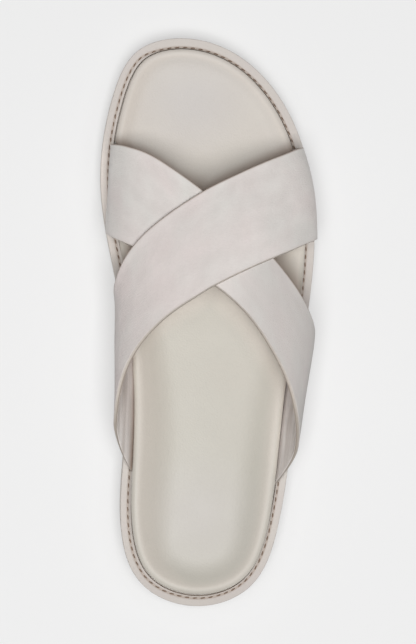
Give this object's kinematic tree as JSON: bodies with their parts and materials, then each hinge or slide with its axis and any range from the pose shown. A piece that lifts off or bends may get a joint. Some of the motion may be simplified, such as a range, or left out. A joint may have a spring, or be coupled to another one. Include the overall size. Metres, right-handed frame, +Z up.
{
  "type": "crossed-strap slide sandal",
  "caption": "Flat slide sandal for the right foot: wide straps crossed over the instep, moulded footbed with a rolled lip, stitched welt and rubber sole.",
  "frame": {"origin": "centre of the part's box, on the floor that it stands on", "axes": "+Y to the toe, +X to the outer side of the foot, +Z up"},
  "size_m": [0.1092, 0.288, 0.0715],
  "materials": {
    "outsole_rubber": "matt moulded rubber, stone beige",
    "welt_leather": "smooth leather strip with brown stitches",
    "footbed_leather": "smooth soft leather over a moulded footbed",
    "strap_nubuck": "nubuck with a fine short nap, raw cut edges"
  },
  "bodies": {
    "root": {"outsole": "outsole_rubber", "welt": "welt_leather", "footbed": "footbed_leather", "upper": "strap_nubuck"}
  },
  "joints": []
}
